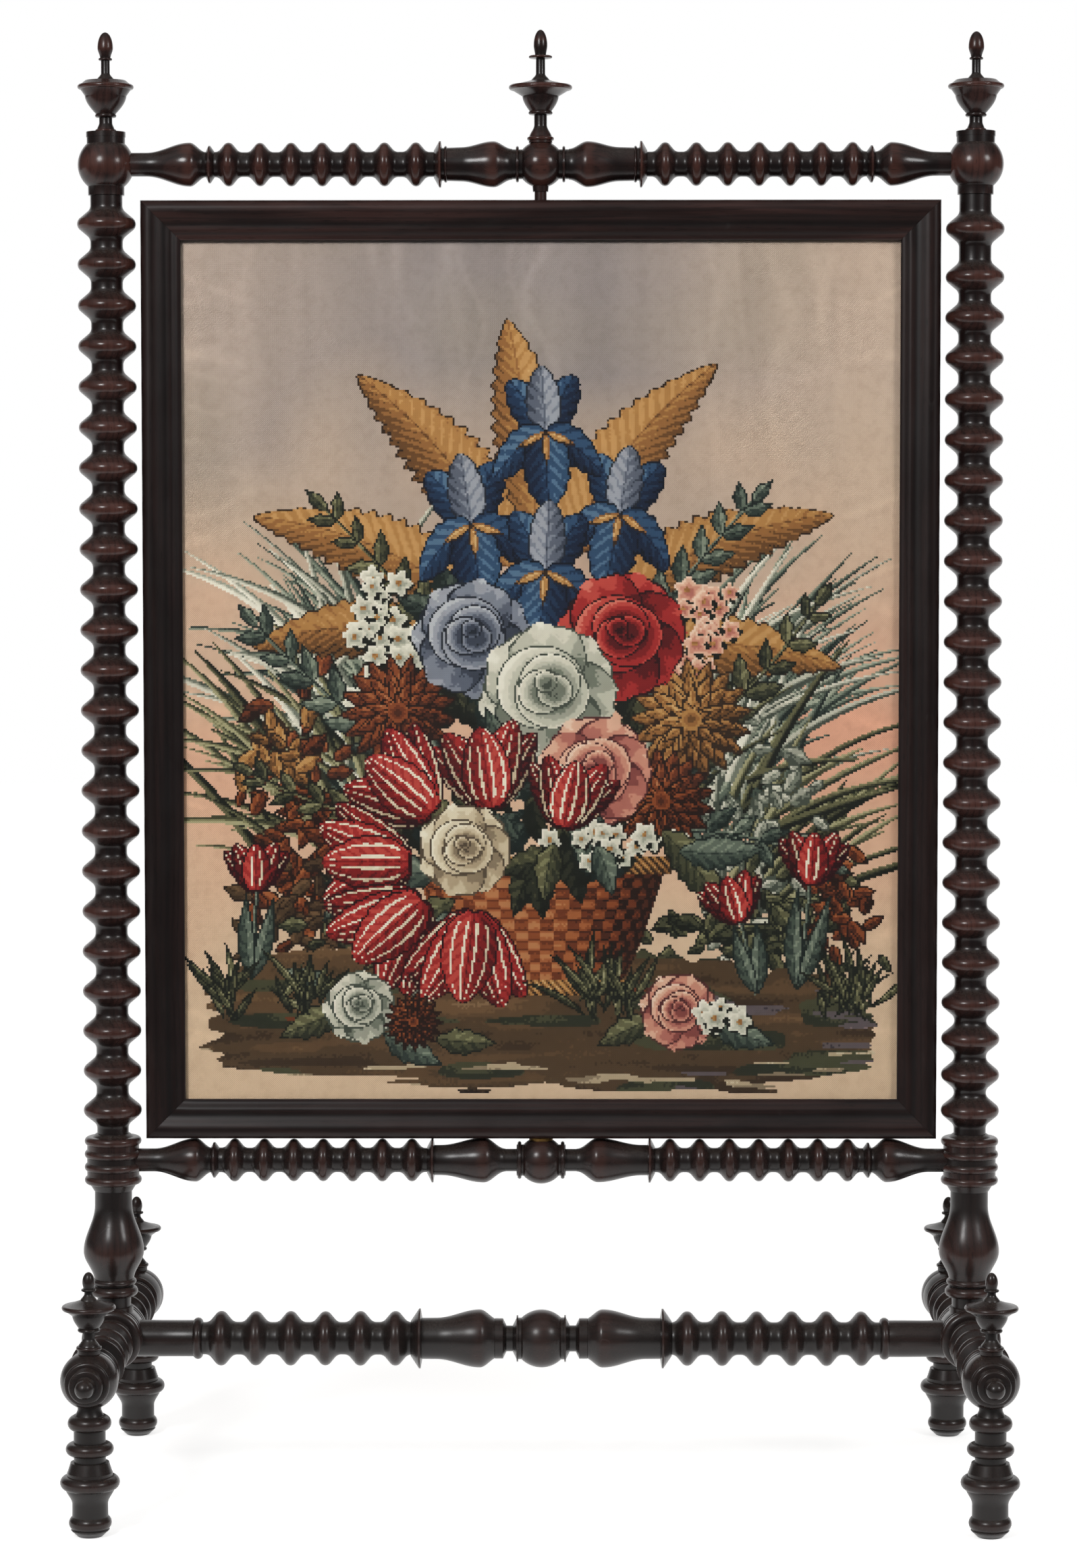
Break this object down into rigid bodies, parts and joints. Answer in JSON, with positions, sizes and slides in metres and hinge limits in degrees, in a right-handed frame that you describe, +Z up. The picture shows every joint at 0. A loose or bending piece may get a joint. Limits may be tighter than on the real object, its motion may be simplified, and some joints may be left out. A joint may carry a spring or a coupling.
{
  "type": "fire screen",
  "caption": "Free-standing fire screen with bobbin-turned wooden stand, urn finials and a framed needlework panel that swivels about its vertical axis.",
  "frame": {"origin": "on the floor, in the middle between the four soles, below the panel's swivel axis", "axes": "+Z up along the swivel axis, +X to the right of someone facing the needlework, +Y from the needlework towards the back board"},
  "size_m": [0.7494, 0.439, 1.1823],
  "materials": {
    "rosewood": "French polished, glossy",
    "frame_rosewood": "French polished, darker, glossy",
    "pine": "bare, aged",
    "brass": "turned, dull",
    "steel": "turned, dull",
    "glass": "clear, polished",
    "needlework": "wool cross stitch on canvas"
  },
  "bodies": {
    "stand": {"left_upright": "rosewood", "right_upright": "rosewood", "top_rail": "rosewood", "lower_rail": "rosewood", "stretcher": "rosewood", "left_foot_rail": "rosewood", "right_foot_rail": "rosewood", "front_left_foot": "rosewood", "front_right_foot": "rosewood", "rear_left_foot": "rosewood", "rear_right_foot": "rosewood", "front_left_toe_finial": "rosewood", "front_right_toe_finial": "rosewood", "rear_left_toe_finial": "rosewood", "rear_right_toe_finial": "rosewood", "left_finial": "rosewood", "right_finial": "rosewood", "centre_finial": "rosewood", "pivot_pin": "steel", "pivot_washer": "brass"},
    "panel": {"frame_top": "frame_rosewood", "frame_bottom": "frame_rosewood", "frame_left": "frame_rosewood", "frame_right": "frame_rosewood", "glass": "glass", "needlework": "needlework", "strainer_top": "pine", "strainer_bottom": "pine", "strainer_left": "pine", "strainer_right": "pine", "canvas_tacks": "steel", "backboard": "pine", "bead_top": "frame_rosewood", "bead_bottom": "frame_rosewood", "bead_left": "frame_rosewood", "bead_right": "frame_rosewood", "bead_pins": "steel", "upper_bush": "brass", "lower_bush": "brass"}
  },
  "joints": [
    {"name": "panel_swivel", "type": "hinge", "parent": "stand", "child": "panel", "pos_m": [0, 0, 0.2859], "axis": [0, 0, 1], "continuous": true}
  ]
}
